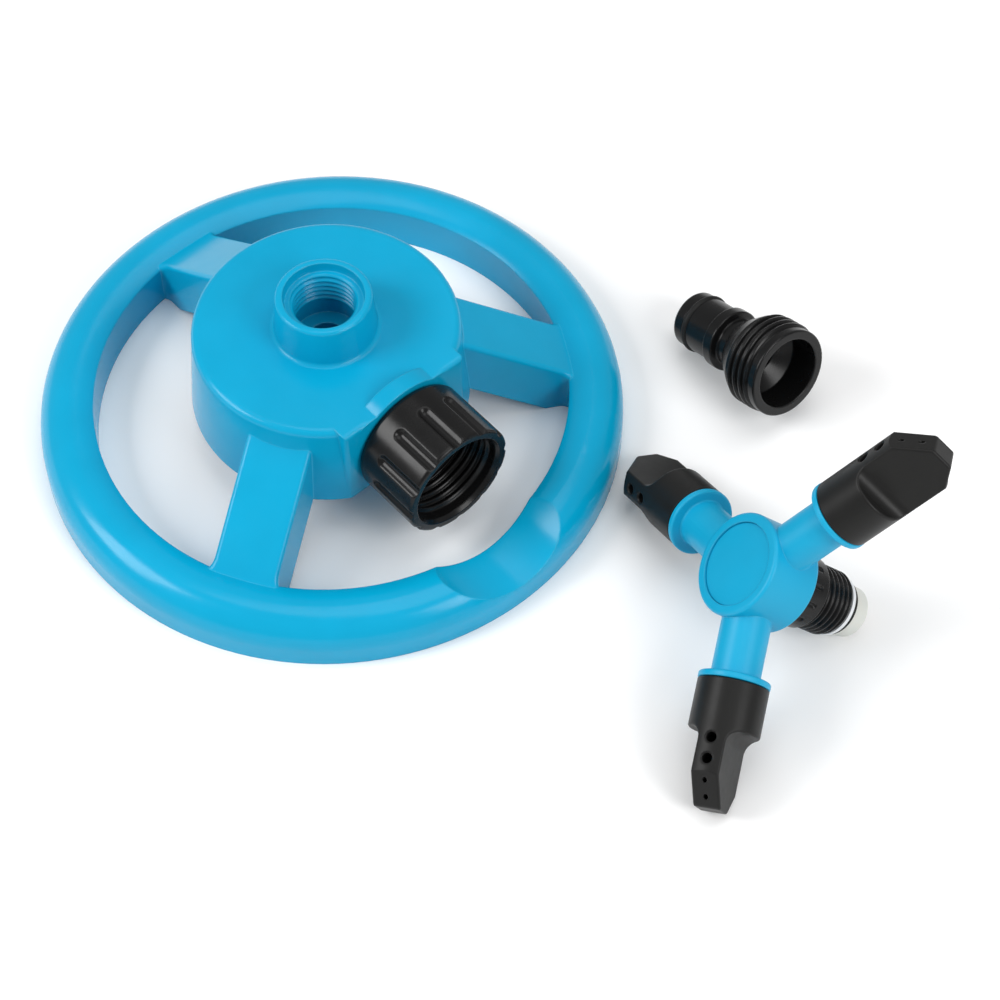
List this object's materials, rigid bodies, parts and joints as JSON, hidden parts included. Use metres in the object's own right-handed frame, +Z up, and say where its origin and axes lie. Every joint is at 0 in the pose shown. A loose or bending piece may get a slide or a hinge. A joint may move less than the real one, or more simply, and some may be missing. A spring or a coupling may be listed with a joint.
{
  "type": "rotary lawn sprinkler",
  "caption": "Rotary lawn sprinkler taken apart: ring base with hose nut, spinning head with turnable nozzles, and a push-fit hose adapter.",
  "frame": {"origin": "middle of the base ring, on the floor it stands on", "axes": "+Z up along the base's neck, +X out along the hose inlet"},
  "size_m": [0.2422, 0.187, 0.076],
  "materials": {
    "blue_gloss": "gloss",
    "blue_satin": "satin",
    "black_gloss": "semi-gloss",
    "black_matte": "matte",
    "white_acetal": "satin",
    "white_washer": "satin",
    "rubber": "matte"
  },
  "bodies": {
    "base": {"base_moulding": "blue_gloss", "inlet_tailpiece": "black_gloss", "tailpiece_oring": "rubber"},
    "nut": {"hose_nut": "black_gloss", "hose_washer": "rubber"},
    "collar": {"bearing_collar": "black_gloss"},
    "rotor": {"rotor_hub": "blue_satin", "hub_cap": "blue_satin", "spindle": "white_acetal", "thrust_washer": "white_washer", "spindle_seal": "rubber", "arm_oring_1": "rubber", "arm_oring_2": "rubber", "arm_oring_3": "rubber"},
    "jet_1": {"nozzle_1": "black_matte"},
    "jet_2": {"nozzle_2": "black_matte"},
    "jet_3": {"nozzle_3": "black_matte"},
    "adapter": {"hose_adapter": "black_gloss", "adapter_oring": "rubber"}
  },
  "joints": [
    {"name": "nut_spin", "type": "hinge", "parent": "base", "child": "nut", "pos_m": [0.0326, 0, 0.026], "axis": [1, 0, 0], "continuous": true},
    {"name": "head_lift", "type": "slide", "parent": "base", "child": "collar", "axis": [0, 0, 1], "range_m": [0, 0.12]},
    {"name": "head_spin", "type": "hinge", "parent": "collar", "child": "rotor", "pos_m": [0.12602, 0.03721, 0.02845], "axis": [-0.4285, -0.6078, 0.6686], "continuous": true},
    {"name": "nozzle_1_turn", "type": "hinge", "parent": "rotor", "child": "jet_1", "pos_m": [0.12602, 0.03721, 0.02845], "axis": [0.5379, -0.7661, -0.3517], "range_deg": [-45, 45]},
    {"name": "nozzle_2_turn", "type": "hinge", "parent": "rotor", "child": "jet_2", "pos_m": [0.12602, 0.03721, 0.02845], "axis": [0.3597, 0.564, 0.7433], "range_deg": [-45, 45]},
    {"name": "nozzle_3_turn", "type": "hinge", "parent": "rotor", "child": "jet_3", "pos_m": [0.12602, 0.03721, 0.02845], "axis": [-0.8977, 0.2021, -0.3916], "range_deg": [-45, 45]},
    {"name": "adapter_lift", "type": "slide", "parent": "base", "child": "adapter", "axis": [0, 0, 1], "range_m": [0, 0.1]}
  ]
}
